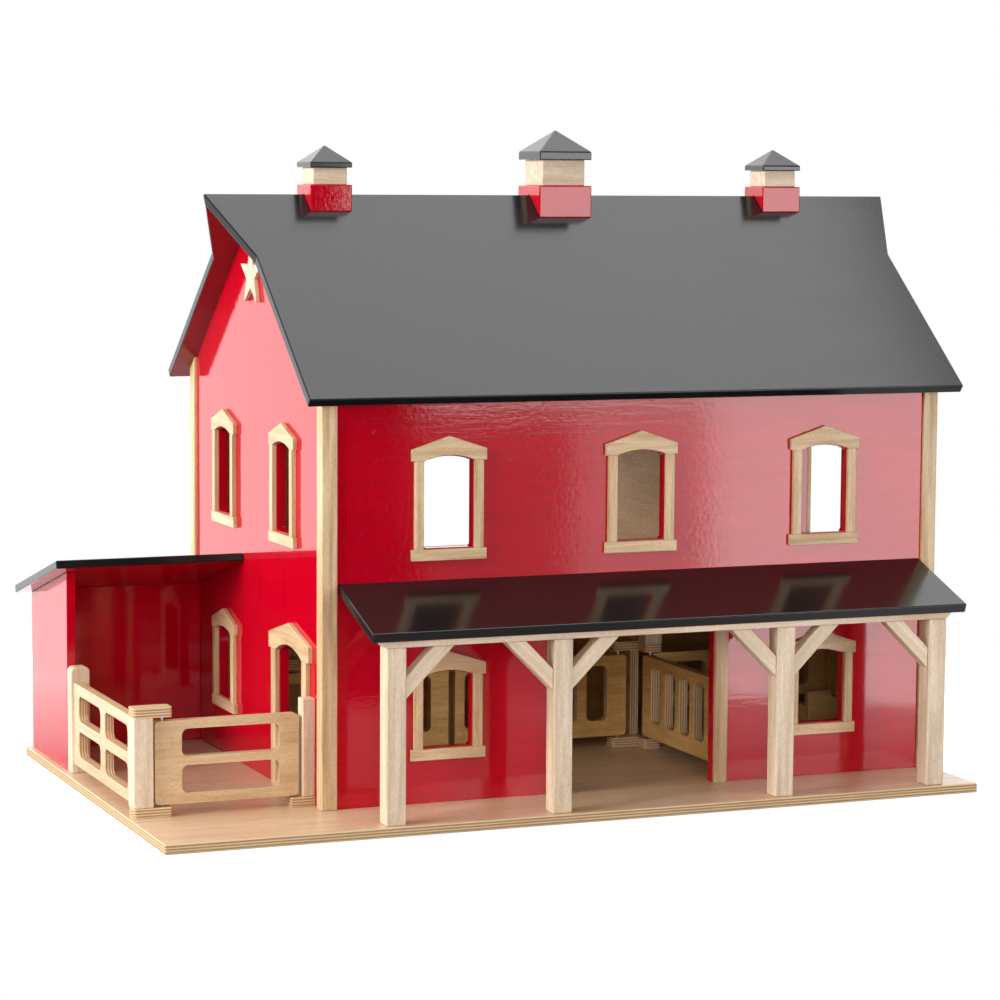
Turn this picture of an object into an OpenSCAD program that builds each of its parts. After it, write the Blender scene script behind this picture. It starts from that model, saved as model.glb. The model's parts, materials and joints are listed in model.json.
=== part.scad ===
// Toy barn with a porch, an open shed, a fenced yard and four pivoting gates.
// Lengths are millimetres. X runs along the front from left to right,
// Y runs from the front to the back, Z is up.
// The layout is measured from the barn's front left corner on top of the base,
// and place() moves it so that the origin is the bottom centre of the whole toy.

/* [Barn body] */
// Width of the barn over its corner posts
body_w = 630; // [600:1:700]
// Depth of the barn over its corner posts
body_d = 414; // [400:1:460]
// Height of the roof's underside above the base at the front face
wall_h = 378.2; // [370:0.1:420]
// Thickness of the plywood walls, floors and gates
ply_t = 9; // [7:0.5:10]
// Side of the square corner posts
corner_s = 15; // [13:0.5:18]
// How far the corner posts stand proud of the walls
corner_proud = 3; // [1:0.1:4]

/* [Base board] */
// Thickness of the base board
base_t = 9; // [6:0.5:15]
// Reach of the base board to the left of the barn
base_left = 172.6; // [165:0.1:200]
// Reach of the base board in front of the barn
base_front = 89; // [86:1:110]

/* [Main roof] */
// Slope of the roof
roof_angle = 38.7; // [30:0.1:45]
// Thickness of the roof panels
roof_t = 9; // [7:0.5:12]
// Overhang of the roof at the eaves
eave_over = 18.2; // [10:0.1:30]
// Overhang of the roof at the gables
verge_over = 17.6; // [10:0.1:30]
// Overhang of the pointed roof end at the ridge
ridge_over = 47.6; // [35:0.1:60]
// Length of the pointed roof end along the slope
flare_len = 92; // [60:1:120]

/* [Cupolas] */
// Distance from the barn's ends to the outer cupolas
cupola_end = 75.5; // [65:0.5:95]
// Shift of the cupolas to the left of the barn's middle
cupola_shift = 2.2; // [0:0.1:6]
// Side of the small cupolas' base
small_base = 42; // [36:1:48]
// Side of the small cupolas' body
small_body = 34; // [28:1:35]
// Side of the small cupolas' cap
small_cap = 42; // [36:1:50]
// Height of the small cupolas' body
small_body_h = 16; // [10:1:24]
// Height of the small cupolas' rim
small_rim_h = 5; // [3:0.5:8]
// Height of the small cupolas' pyramid
small_peak_h = 16.5; // [10:0.5:24]
// Side of the middle cupola's base
large_base = 55.5; // [50:0.5:62]
// Side of the middle cupola's body
large_body = 44.5; // [38:0.5:48]
// Side of the middle cupola's cap
large_cap = 55; // [50:0.5:62]
// Height of the middle cupola's body
large_body_h = 25; // [18:1:34]
// Height of the middle cupola's rim
large_rim_h = 8; // [5:0.5:12]
// Height of the middle cupola's pyramid
large_peak_h = 21.5; // [14:0.5:30]
// Height of the cupola bases above the ridge
cupola_rise = 9; // [6:0.5:16]

/* [Windows and trim] */
// Thickness of the window and door trim
trim_t = 4.5; // [3:0.5:6]
// Width of a window inside its trim
win_w = 50; // [42:1:56]
// Width of a window's side strips
win_stile = 8.5; // [6:0.5:12]
// Height of a window's sill
win_sill = 10.3; // [7:0.1:14]
// Height of the sides of a window's head
win_head = 10.5; // [7:0.5:14]
// Rise of a window head's peak above its sides
win_peak = 12; // [6:0.5:18]
// Reach of a window's head and sill past its side strips
win_over = 3; // [1:0.5:6]
// Rise of a window's arch
win_arch = 5; // [3:0.5:8]
// How far the wall shows inside the trim
reveal = 1; // [0.5:0.1:2]
// Radius of the wall opening's lower corners
win_corner = 3; // [1:0.5:5]
// Distance from the middle of the front to the side windows
win_pitch = 192.5; // [180:0.5:200]
// Height of the upper windows from the sill to the arch
upper_h = 81; // [70:1:90]
// Height of the underside of the upper front sills
upper_z = 224.6; // [218:0.1:235]
// Height of the lower windows from the sill to the arch
lower_h = 67.5; // [55:0.5:75]
// Height of the underside of the lower front sills
lower_z = 40.5; // [30:0.5:50]
// How much higher the gable's windows sit
gable_lift = 6; // [0:0.5:10]
// Distance from the middle of the gable to its windows
gable_pitch = 92; // [85:1:100]

/* [Doorways] */
// Width of the main doorway
main_w = 158; // [140:1:170]
// Height of the main doorway
main_h = 157; // [140:1:165]
// Width of the strips round the doorways
door_stile = 13; // [9:0.5:14]
// Width of the gable doorway
gable_door_w = 76.4; // [70:0.1:84]
// Height of the gable doorway below its arch
gable_door_h = 130; // [115:1:135]
// Gap between the latch strip's foot and the gable doorway's trim
gable_door_gap = 0.3; // [0.2:0.1:8]
// Height of the sides of a doorway's head
door_head = 15; // [10:0.5:18]
// Rise of a doorway head's peak
door_peak = 15; // [8:0.5:20]
// Reach of a doorway's head past its side strips
door_over = 7; // [3:0.5:10]
// Rise of a doorway's arch
door_arch = 9; // [5:0.5:12]
// Width of the loft doorway in the right gable
loft_door_w = 110; // [100:1:150]
// Height of the loft doorway below its arch
loft_door_h = 136; // [120:1:150]
// Wall left beside each loft opening in the back
back_margin = 15; // [8:1:25]
// Wall left above the loft openings in the back
back_head = 34; // [20:1:50]
// Wall left below each loft opening in the back
back_sill = 12; // [8:1:20]
// Corner radius of the loft openings in the back
back_corner = 12; // [6:1:20]

/* [Gable star] */
// Outer radius of the star on the left gable
star_r = 32; // [24:1:36]
// Radius of the star's inner corners
star_in_r = 12.5; // [10:0.5:16]
// Distance of the star's centre below the roof's ridge
star_drop = 65.4; // [60:0.1:80]

/* [Floors and partitions] */
// Height of the loft floor's top
loft_z = 175; // [174:1:190]
// Distance from the left end to the first stall partition
stall_1_x = 202.7; // [190:0.1:215]
// Distance from the left end to the second stall partition
stall_2_x = 407.3; // [395:0.1:415]
// Distance from the front to the stall partitions
stall_y = 222.3; // [216:0.1:230]

/* [Porch] */
// Slope of the porch roof
porch_angle = 19.5; // [14:0.1:22]
// Thickness of the porch roof
porch_t = 9; // [7:0.5:10]
// Height of the porch roof's top at the wall
porch_z = 206.7; // [204:0.1:214]
// Reach of the porch roof in front of the barn
porch_reach = 90.9; // [89:0.1:96]
// Gap between the porch roof's ends and the corner posts
porch_in = 1.5; // [0.5:0.5:8]
// Side of the square porch posts
post_s = 18.5; // [15:0.5:20]
// Reach of the porch posts' front face
post_front = 84.3; // [80:0.1:86]
// Distance from the barn's ends to the outer posts
post_out_x = 33.1; // [28:0.1:40]
// Distance from the barn's ends to the inner posts
post_in_x = 193.4; // [185:0.1:200]
// Shift of the porch posts to the left of the barn's middle
porch_shift = 1.4; // [0:0.1:3]
// Height of the porch beam at its front
beam_h = 6.9; // [5:0.1:16]
// Reach of the porch beam past the outer posts
beam_over = 5.5; // [2:0.5:6]
// Width of the porch braces
brace_w = 14; // [10:0.5:16]
// Depth of the porch braces
brace_d = 14; // [10:0.5:15]
// Reach of the porch braces from the post along the beam
brace_reach = 46.7; // [35:0.1:55]
// Set back of the porch braces from the posts' front
brace_set = 2; // [0:0.5:3]

/* [Shed] */
// Distance of the shed's side wall from the base board's left edge
shed_in = 6.6; // [4:0.1:8]
// Distance from the barn's front to the shed's side wall
shed_y = 270.5; // [260:0.5:280]
// Distance of the side wall's end from the barn's back
shed_back = 3; // [1:0.5:6]
// Slope of the shed roof
shed_angle = 14.6; // [10:0.1:17]
// Thickness of the shed roof
shed_t = 8; // [7:0.5:11]
// Height of the shed roof's top at its front edge
shed_z = 208.2; // [205:0.1:215]
// Overhang of the shed roof at the front
shed_over = 26.5; // [16:0.5:30]
// Overhang of the shed roof at the side
shed_verge = 16.6; // [10:0.1:20]

/* [Yard] */
// Distance of the yard posts from the base board's left edge
yard_in = 4; // [2:0.5:6]
// Side of the square yard posts
yard_post_s = 18.5; // [15:0.5:20]
// Distance from the barn's front to the yard's front
yard_y = 24.2; // [19:0.1:26]
// Depth of the post at the shed
shed_post_d = 15.4; // [12:0.1:18]
// Height of the post at the shed
shed_post_h = 102.8; // [98:0.1:120]
// Radius of the rounded top of the post at the shed
shed_post_r = 5; // [3:0.5:7]
// Height of the fence panel
fence_h = 79; // [65:1:85]
// Height of the fence panel's lower edge
fence_z = 9.5; // [6:0.5:14]
// Width of the fence panel's end stiles
fence_stile = 19; // [15:1:24]
// Width of the fence panel's middle stile
fence_mid = 15; // [11:1:20]
// Height of the fence panel's rails
fence_rail = 10; // [8:0.5:12]
// Corner radius of the fence panel's openings
fence_corner = 7; // [4:0.5:8]
// Height of the yard gate
yard_gate_h = 76; // [66:1:78]
// Height of the yard gate's lower edge
yard_gate_z = 10.5; // [10:0.5:12]
// Height of the yard gate's upper rails
yard_rail = 8; // [7:0.5:11]
// Height of the yard gate's lower rail
yard_low_rail = 9.5; // [7:0.5:12]
// Width of the yard gate's hinge stile
yard_hinge_stile = 25; // [20:1:30]
// Width of the yard gate's free stile
yard_free_stile = 18; // [14:1:24]
// Corner radius of the yard gate's slots
yard_slot_r = 6; // [4:0.5:9]
// Height of the cap block's underside above the base
yard_cap_z = 90.8; // [90:0.1:96]
// Width of the latch strip on the gable
latch_w = 14.6; // [12:0.1:15]
// Height of the latch strip's top
latch_h = 99.5; // [90:0.5:105]
// Thickness of the latch strip
latch_t = 12.3; // [9:0.1:14]
// Length of the latch strip's foot
latch_foot_l = 23; // [18:0.1:26]
// Width of the latch strip's foot
latch_foot_w = 15.8; // [15.2:0.1:16]
// Gap between the yard gate's free end and the latch strip
latch_gap = 3.3; // [3:0.1:8]

/* [Stall gates] */
// Height of the stall gates' lower edge
gate_z = 11; // [10:0.5:13]
// Height of the stall gates
gate_h = 82; // [72:1:84]
// Width of the slots in the stall gates
slot_w = 23; // [18:0.5:25]
// Width of the bars between the slots
slot_bar = 10; // [8:0.5:14]
// Height of the gates' rail above the slots
slot_top = 10; // [7:0.5:14]
// Height of the gates' rail below the slots
slot_bottom = 16; // [15:0.5:20]
// Corner radius of the slots
slot_r = 6; // [3:0.5:8]
// Distance from the hinge end to the first slot
slot_hinge = 20.5; // [18:0.5:24]
// Distance from the first gate's hinge end to its first slot
slot_hinge_1 = 15.6; // [14:0.1:20]
// Least distance from a gate's free end to a slot
slot_free = 7; // [5:0.5:10]
// Corner radius of the gates
gate_corner = 4; // [2:0.5:6]
// Distance of the second gate's pivot from its partition
gate_2_in = 18.6; // [17:0.1:20]
// Distance of the third gate's plane from its partition's middle
gate_3_shift = 4.15; // [2:0.05:5]
// Gap between the third gate's free end and the front wall
gate_3_gap = 6.5; // [5:0.5:14]
// How far the closed gates overlap a partition's edge
gate_stop = 1; // [0.5:0.1:3]
// Distance from a pivot to its gate's hinge end
pivot_end = 7.5; // [6.5:0.1:7.8]
// Distance from a pivot to the wall or post beside it
pivot_wall = 10; // [9.5:0.1:12]

/* [Gate blocks and pins] */
// Length of the gate blocks
block_l = 36; // [34:0.5:42]
// Width of the gate blocks
block_w = 18.5; // [17:0.5:19]
// Thickness of the gate blocks
block_t = 9; // [7:0.5:9]
// Gap between the second gate's blocks and the third gate's blocks
block_gap = 0.3; // [0.2:0.1:2]
// Corner radius of the gate blocks
block_r = 3; // [1:0.5:5]
// Height of the stall gates' top blocks above the base
top_block_z = 98; // [97:1:110]
// Radius of the pivot pins
pin_r = 1.5; // [1:0.1:2.5]
// Depth of the pivot pins in a gate
pin_in = 12; // [8:0.5:14]
// Radial clearance of the pins in the blocks
pin_fit = 0.05; // [0.02:0.01:0.1]
// Radial clearance of the pins in their gate
pin_seat = 0.02; // [0.01:0.01:0.05]
// Gap between a pin's end and the block's far face
pin_stop = 1; // [0.5:0.1:2]

/* [Stall fittings] */
// Height of the slotted panel
panel_h = 93; // [80:1:100]
// Width of the slotted panel's openings
panel_slot = 45; // [35:1:50]
// Least width of the slotted panel's stiles
panel_stile = 12; // [8:1:16]
// Height of the slotted panel's rails
panel_rail = 10; // [8:0.5:12]
// Corner radius of the slotted panel's openings
panel_corner = 6; // [3:0.5:8]
// Gap between the slotted panel and the third gate's block
panel_gap = 0.5; // [0.3:0.1:3]
// Length of the feeder along the front of the stall
feeder_w = 49; // [45:0.5:60]
// Distance from the barn's front to the feeder's front board
feeder_y = 141; // [130:1:150]
// Height of the feeder's high side
feeder_h = 56; // [50:1:62]
// Drop of the feeder's curved top
feeder_drop = 7; // [4:0.5:10]
// Width of the feeder's high side
feeder_high = 22; // [18:0.5:26]
// Height of the feeder's side board
feeder_side_h = 40; // [30:1:48]

/* [Hidden] */
$fn = 64;
// A cut runs this far past the faces that it leaves
cut = 1;
red = [0.68, 0.06, 0.12];
black = [0.09, 0.09, 0.1];
pine = [0.87, 0.75, 0.58];
birch = [0.8, 0.68, 0.52];
steel = [0.7, 0.7, 0.72];

wall_out = corner_proud;
wall_in = corner_proud + ply_t;
mid_y = body_d / 2;
roof_tan = tan(roof_angle);
ridge_under = wall_h + mid_y * roof_tan;
ridge_top = ridge_under + roof_t / cos(roof_angle);
small_z = ridge_top + cupola_rise;
tall = ridge_top + cut;

shed_left = -(base_left - shed_in);
shed_roof_left = shed_left - shed_verge;
origin_x = (body_w + ridge_over + shed_roof_left) / 2;
origin_y = (body_d + eave_over - max(base_front, porch_reach)) / 2;

cupola_xs = [for (x = [cupola_end, body_w / 2, body_w - cupola_end]) x - cupola_shift];
side_xs = [body_w / 2 - win_pitch, body_w / 2 + win_pitch];
front_xs = [side_xs[0], body_w / 2, side_xs[1]];
post_xs = [for (x = [post_out_x, post_in_x, body_w - post_in_x - post_s, body_w - post_out_x - post_s])
    x - porch_shift];
post_h = porch_under(-post_front) - beam_h;

main_x = body_w / 2;
loft_under = loft_z - ply_t;
part_2_right = stall_2_x + ply_t;

yard_left = -(base_left - yard_in);
yard_mid_y = yard_y + yard_post_s / 2;
yard_pivot_x = yard_left + yard_post_s + pivot_wall;
yard_free_x = wall_out - latch_t - latch_gap;
gable_door_y = yard_mid_y + latch_foot_w / 2 + gable_door_gap + door_stile + gable_door_w / 2;
yard_gate_l = yard_free_x - yard_pivot_x + pivot_end;
fence_y0 = yard_y + yard_post_s;
fence_y1 = shed_y - shed_post_d;

gate_plane_y = stall_y - block_w / 2;
gate_1_pivot = wall_in + pivot_wall;
gate_2_pivot = stall_2_x - gate_2_in;
gate_3_x = stall_2_x + ply_t / 2 + gate_3_shift;
gate_3_pivot = stall_y - block_w - block_gap - block_w / 2;
gate_1_l = stall_1_x + gate_stop - gate_1_pivot + pivot_end;
gate_2_l = gate_2_pivot + pivot_end - stall_1_x - ply_t + gate_stop;
gate_3_l = gate_3_pivot + pivot_end - wall_in - gate_3_gap;

// Moves the layout so that the origin is the bottom centre of the toy
module place() {
    translate([-origin_x, -origin_y, base_t]) children();
}

// Stands a flat drawing up facing the front, thickness towards the front
module face_front(t) {
    rotate([90, 0, 0]) linear_extrude(t) children();
}

// Stands a flat drawing up across the barn, thickness towards the right
module face_side(t) {
    rotate([90, 0, 90]) linear_extrude(t) children();
}

// Everything that lies under the main roof's panels
module under_roof() {
    translate([-cut, 0, 0]) face_side(body_w + 2 * cut)
        polygon([[-cut, -cut], [body_d + cut, -cut], [body_d + cut, wall_h - cut * roof_tan],
            [mid_y, ridge_under], [-cut, wall_h - cut * roof_tan]]);
}

// Rectangle with round corners, from the origin
module round_rect(w, h, r) {
    translate([r, 0]) square([w - 2 * r, h]);
    translate([0, r]) square([w, h - 2 * r]);
    for (x = [r, w - r], y = [r, h - r]) translate([x, y]) circle(r);
}

// Shallow arch over the width w, down to half the height of its opening
module arch(w, h, rise) {
    big_r = (w * w / 4 + rise * rise) / (2 * rise);
    intersection() {
        translate([0, h + rise - big_r]) circle(big_r, $fn = 128);
        translate([-w / 2, h / 2]) square([w, h / 2 + rise]);
    }
}

// Opening of a window or doorway, centred on X
module opening(w, h, rise) {
    translate([-w / 2, 0]) square([w, h]);
    if (rise > 0) arch(w, h, rise);
}

// Wall opening behind a window, with round lower corners
module wall_window(h) {
    w = win_w - 2 * reveal;
    translate([-w / 2 + win_corner, reveal]) square([w - 2 * win_corner, h]);
    for (s = [-1, 1]) translate([s * (w / 2 - win_corner), reveal + win_corner]) circle(win_corner);
    translate([0, reveal + win_corner]) opening(w, h - 2 * reveal - win_corner, win_arch);
}

// Wall opening of a doorway that starts at the floor
module wall_door(w, h, rise) {
    translate([0, -cut]) opening(w - 2 * reveal, h + cut - reveal, rise);
}

// Flat trim round an opening, with a peaked head and a sill where sill is over 0
module trim(w, h, rise, stile, sill, head, peak, over) {
    side = w / 2 + stile;
    top = sill + h;
    difference() {
        union() {
            translate([-side, 0]) square([2 * side, top]);
            polygon([[-side - over, top], [side + over, top], [side + over, top + head],
                [0, top + head + peak], [-side - over, top + head]]);
            if (sill > 0) translate([-side - over, 0]) square([2 * (side + over), sill]);
        }
        translate([0, sill > 0 ? sill : -cut]) opening(w, sill > 0 ? h : h + cut, rise);
    }
}

module window_trim(h) {
    trim(win_w, h, win_arch, win_stile, win_sill, win_head, win_peak, win_over);
}

// Cuts a window into the front wall
module front_window_cut(x, z, h) {
    translate([x, wall_in + cut, z + win_sill]) face_front(ply_t + 2 * cut) wall_window(h);
}

// Cuts a window into the left gable wall
module gable_window_cut(y, z, h) {
    translate([wall_out - cut, y, z + win_sill]) face_side(ply_t + 2 * cut) wall_window(h);
}

module corner_post(x, y) {
    color(pine) place() intersection() {
        translate([x, y, 0]) cube([corner_s, corner_s, tall]);
        under_roof();
    }
}

module base_board() {
    color(birch) place() translate([-base_left, -base_front, -base_t])
        cube([base_left + body_w, base_front + body_d, base_t]);
}

module front_wall() {
    color(red) place() difference() {
        intersection() {
            translate([corner_s, wall_out, 0]) cube([body_w - 2 * corner_s, ply_t, tall]);
            under_roof();
        }
        for (x = front_xs) front_window_cut(x, upper_z, upper_h);
        for (x = side_xs) front_window_cut(x, lower_z, lower_h);
        translate([main_x, wall_in + cut, 0]) face_front(ply_t + 2 * cut) wall_door(main_w, main_h, 0);
    }
}

module left_gable_wall() {
    color(red) place() difference() {
        intersection() {
            translate([wall_out, corner_s, 0]) cube([ply_t, body_d - 2 * corner_s, tall]);
            under_roof();
        }
        for (s = [-1, 1]) gable_window_cut(mid_y + s * gable_pitch, upper_z + gable_lift, upper_h);
        gable_window_cut(mid_y + gable_pitch, lower_z + gable_lift, lower_h);
        translate([wall_out - cut, gable_door_y, 0]) face_side(ply_t + 2 * cut)
            wall_door(gable_door_w, gable_door_h, door_arch);
    }
}

module right_gable_wall() {
    color(red) place() difference() {
        intersection() {
            translate([body_w - wall_in, corner_s, 0]) cube([ply_t, body_d - 2 * corner_s, tall]);
            under_roof();
        }
        translate([body_w - wall_in - cut, mid_y, loft_z]) face_side(ply_t + 2 * cut)
            opening(loft_door_w - 2 * reveal, loft_door_h - reveal, door_arch);
    }
}

// Opening in the back wall between two heights
module back_cut(x0, x1, z0, z1) {
    translate([x0, body_d - wall_out + cut, z0]) face_front(ply_t + 2 * cut)
        round_rect(x1 - x0, z1 - z0, back_corner);
}

module back_wall() {
    x1 = stall_1_x + ply_t + back_margin;
    x2 = stall_2_x - back_margin;
    x3 = part_2_right + back_margin;
    x4 = body_w - corner_s - back_margin;
    color(red) place() difference() {
        intersection() {
            translate([corner_s, body_d - wall_in, 0]) cube([body_w - 2 * corner_s, ply_t, tall]);
            under_roof();
        }
        back_cut(x1, x2, loft_z + back_sill, wall_h - back_head);
        back_cut(x3, x4, loft_z + back_sill, wall_h - back_head);
    }
}

module corner_post_front_left() {
    corner_post(0, 0);
}

module corner_post_front_right() {
    corner_post(body_w - corner_s, 0);
}

module corner_post_back_left() {
    corner_post(0, body_d - corner_s);
}

module corner_post_back_right() {
    corner_post(body_w - corner_s, body_d - corner_s);
}

module loft_floor() {
    color(birch) place() difference() {
        translate([wall_in, wall_in, loft_under])
            cube([body_w - 2 * wall_in, body_d - 2 * wall_in, ply_t]);
        for (x = [0, body_w - corner_s], y = [0, body_d - corner_s])
            translate([x, y, loft_under - cut]) cube([corner_s, corner_s, ply_t + 2 * cut]);
    }
}

module loft_partition() {
    color(birch) place() intersection() {
        translate([stall_2_x, wall_in, loft_z]) cube([ply_t, body_d - 2 * wall_in, tall]);
        under_roof();
    }
}

module stall_partition(x) {
    color(birch) place() translate([x, stall_y, 0])
        cube([ply_t, body_d - wall_in - stall_y, loft_under]);
}

module stall_partition_1() {
    stall_partition(stall_1_x);
}

module stall_partition_2() {
    stall_partition(stall_2_x);
}

// Fixed panel in two rows that closes the back right stall
module slotted_panel() {
    x0 = gate_3_x + block_w / 2 + panel_gap;
    l = body_w - wall_in - x0;
    n = floor((l - panel_stile) / (panel_slot + panel_stile));
    bar = (l - n * panel_slot) / (n + 1);
    row_h = (panel_h - 3 * panel_rail) / 2;
    color(birch) place() translate([x0, gate_plane_y + ply_t / 2, 0]) face_front(ply_t) difference() {
        square([l, panel_h]);
        for (i = [0 : n - 1], z = [panel_rail, 2 * panel_rail + row_h])
            translate([bar + i * (panel_slot + bar), z]) round_rect(panel_slot, row_h, panel_corner);
    }
}

module gate_hanger() {
    z0 = top_block_z + block_t;
    color(pine) place() translate([gate_3_x - block_w / 2, gate_3_pivot - block_w / 2, z0])
        cube([block_w, block_w, loft_under - z0]);
}

// Front board of the feeder, its top dropping in an S curve
module feeder_front() {
    r = feeder_drop / 2;
    low = feeder_h - feeder_drop;
    color(birch) place() translate([body_w - wall_in - feeder_w, feeder_y + ply_t, 0])
        face_front(ply_t) difference() {
            union() {
                square([feeder_w, low]);
                square([feeder_high, feeder_h]);
                translate([feeder_high, 0]) square([r, feeder_h - r]);
                translate([feeder_high, feeder_h - r]) circle(r);
                translate([feeder_high + r, 0]) square([r, low + r]);
            }
            translate([feeder_high + feeder_drop, low + r]) circle(r);
        }
}

module feeder_side() {
    y0 = feeder_y + ply_t;
    color(birch) place() translate([body_w - wall_in - feeder_w, y0, 0])
        cube([ply_t, gate_plane_y - ply_t / 2 - y0, feeder_side_h]);
}

// Front half of the roof, its ends drawn out to a point at the ridge
module roof_panel() {
    y0 = -eave_over + roof_t * sin(roof_angle);
    s1 = (mid_y + eave_over) / cos(roof_angle);
    s0 = s1 - flare_len;
    difference() {
        translate([0, y0, wall_h + y0 * roof_tan]) rotate([roof_angle, 0, 0]) linear_extrude(roof_t)
            polygon([[-verge_over, 0], [body_w + verge_over, 0], [body_w + verge_over, s0],
                [body_w + ridge_over, s1], [-ridge_over, s1], [-verge_over, s0]]);
        translate([-ridge_over - cut, mid_y, wall_h]) cube([body_w + 2 * (ridge_over + cut), mid_y, tall]);
    }
}

module roof_front() {
    color(black) place() roof_panel();
}

module roof_back() {
    color(black) place() translate([0, body_d, 0]) mirror([0, 1, 0]) roof_panel();
}

// Square block that straddles the ridge
module cupola_base(x, side) {
    low = ridge_top - side / 2 * roof_tan;
    color(red) place() difference() {
        translate([x - side / 2, mid_y - side / 2, low]) cube([side, side, small_z - low]);
        translate([x - side / 2 - cut, 0, 0]) face_side(side + 2 * cut)
            polygon([[mid_y, ridge_top], [mid_y - side, ridge_top - side * roof_tan],
                [mid_y + side, ridge_top - side * roof_tan]]);
    }
}

module cupola_body(x, side, h) {
    color(pine) place() translate([x - side / 2, mid_y - side / 2, small_z]) cube([side, side, h]);
}

// Square rim with a four sided peak
module cupola_cap(x, side, z, rim, peak) {
    outline = [[-side / 2, 0], [side / 2, 0], [side / 2, rim], [0, rim + peak], [-side / 2, rim]];
    color(black) place() translate([x, mid_y, z]) intersection() {
        translate([0, side / 2, 0]) face_front(side) polygon(outline);
        translate([-side / 2, 0, 0]) face_side(side) polygon(outline);
    }
}

module cupola_base_left() {
    cupola_base(cupola_xs[0], small_base);
}

module cupola_base_middle() {
    cupola_base(cupola_xs[1], large_base);
}

module cupola_base_right() {
    cupola_base(cupola_xs[2], small_base);
}

module cupola_body_left() {
    cupola_body(cupola_xs[0], small_body, small_body_h);
}

module cupola_body_middle() {
    cupola_body(cupola_xs[1], large_body, large_body_h);
}

module cupola_body_right() {
    cupola_body(cupola_xs[2], small_body, small_body_h);
}

module cupola_cap_left() {
    cupola_cap(cupola_xs[0], small_cap, small_z + small_body_h, small_rim_h, small_peak_h);
}

module cupola_cap_middle() {
    cupola_cap(cupola_xs[1], large_cap, small_z + large_body_h, large_rim_h, large_peak_h);
}

module cupola_cap_right() {
    cupola_cap(cupola_xs[2], small_cap, small_z + small_body_h, small_rim_h, small_peak_h);
}

module gable_star() {
    points = [for (i = [0 : 9]) let (r = i % 2 == 0 ? star_r : star_in_r, a = 90 + 36 * i)
        [r * cos(a), r * sin(a)]];
    color(pine) place() translate([wall_out - trim_t, mid_y, ridge_under - star_drop])
        face_side(trim_t) polygon(points);
}

function porch_top(y) = porch_z - (wall_out - y) * tan(porch_angle);
function porch_under(y) = porch_top(y) - porch_t / cos(porch_angle);

module porch_roof() {
    y1 = -porch_reach + porch_t * sin(porch_angle);
    x0 = corner_s + porch_in;
    color(black) place() translate([x0, 0, 0]) face_side(body_w - 2 * x0)
        polygon([[wall_out, porch_under(wall_out)], [wall_out, porch_z],
            [-porch_reach, porch_top(-porch_reach)], [y1, porch_under(y1)]]);
}

// Beam on the posts, its top sloped to the roof and its ends cut at 45 degrees
module porch_beam() {
    x0 = post_xs[0];
    x1 = post_xs[3] + post_s;
    y0 = -post_front;
    y1 = y0 + post_s;
    z1 = post_h + beam_over;
    color(pine) place() intersection() {
        translate([x0 - beam_over, 0, 0]) face_side(x1 - x0 + 2 * beam_over)
            polygon([[y0, post_h], [y1, post_h], [y1, porch_under(y1)], [y0, porch_under(y0)]]);
        translate([0, y1 + cut, 0]) face_front(post_s + 2 * cut)
            polygon([[x0, post_h], [x1, post_h], [x1 + beam_over, z1], [x1 + beam_over, porch_z],
                [x0 - beam_over, porch_z], [x0 - beam_over, z1]]);
    }
}

module porch_posts() {
    color(pine) place() for (x = post_xs) translate([x, -post_front, 0]) cube([post_s, post_s, post_h]);
}

// Brace at 45 degrees from a post up to the beam, towards side s
module brace(x, s) {
    far = brace_reach;
    near = brace_reach - brace_w * sqrt(2);
    translate([x, -post_front + brace_set + brace_d, 0]) face_front(brace_d)
        polygon([[0, post_h - far], [s * far, post_h], [s * near, post_h], [0, post_h - near]]);
}

module porch_braces() {
    color(pine) place() {
        for (i = [0, 1, 2]) brace(post_xs[i] + post_s, 1);
        for (i = [1, 2, 3]) brace(post_xs[i], -1);
    }
}

module window_trim_upper() {
    color(pine) place() for (x = front_xs)
        translate([x, wall_out, upper_z]) face_front(trim_t) window_trim(upper_h);
}

module window_trim_lower() {
    color(pine) place() for (x = side_xs)
        translate([x, wall_out, lower_z]) face_front(trim_t) window_trim(lower_h);
}

module window_trim_gable() {
    color(pine) place() {
        for (s = [-1, 1]) translate([wall_out - trim_t, mid_y + s * gable_pitch, upper_z + gable_lift])
            face_side(trim_t) window_trim(upper_h);
        translate([wall_out - trim_t, mid_y + gable_pitch, lower_z + gable_lift])
            face_side(trim_t) window_trim(lower_h);
    }
}

module gable_door_trim() {
    color(pine) place() translate([wall_out - trim_t, gable_door_y, 0]) face_side(trim_t)
        trim(gable_door_w, gable_door_h, door_arch, door_stile, 0, door_head, door_peak, door_over);
}

module main_door_trim() {
    color(pine) place() translate([main_x, wall_out, 0]) face_front(trim_t)
        trim(main_w, main_h, 0, door_stile, 0, door_stile, 0, 0);
}

module loft_door_trim() {
    color(pine) place() translate([body_w - wall_out, mid_y, loft_z]) face_side(trim_t)
        trim(loft_door_w, loft_door_h, door_arch, door_stile, 0, door_head, door_peak, door_over);
}

function shed_top(y) = shed_z - (y - shed_y + shed_over) * tan(shed_angle);
function shed_under(y) = shed_top(y) - shed_t / cos(shed_angle);

module shed_roof() {
    y0 = shed_y - shed_over;
    y1 = body_d - shed_back;
    z1 = shed_under(y1);
    dy = shed_t * sin(shed_angle);
    dz = shed_t * cos(shed_angle);
    color(black) place() difference() {
        translate([shed_roof_left, 0, 0]) face_side(wall_out - shed_roof_left)
            polygon([[y0, shed_z], [y0 - dy, shed_z - dz], [y1, z1], [y1 + dy, z1 + dz]]);
        translate([0, body_d - corner_s, 0]) cube([corner_s, corner_s, tall]);
    }
}

module shed_side_wall() {
    y1 = body_d - shed_back;
    color(red) place() translate([shed_left, 0, 0]) face_side(ply_t)
        polygon([[shed_y, 0], [y1, 0], [y1, shed_under(y1)], [shed_y, shed_under(shed_y)]]);
}

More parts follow.
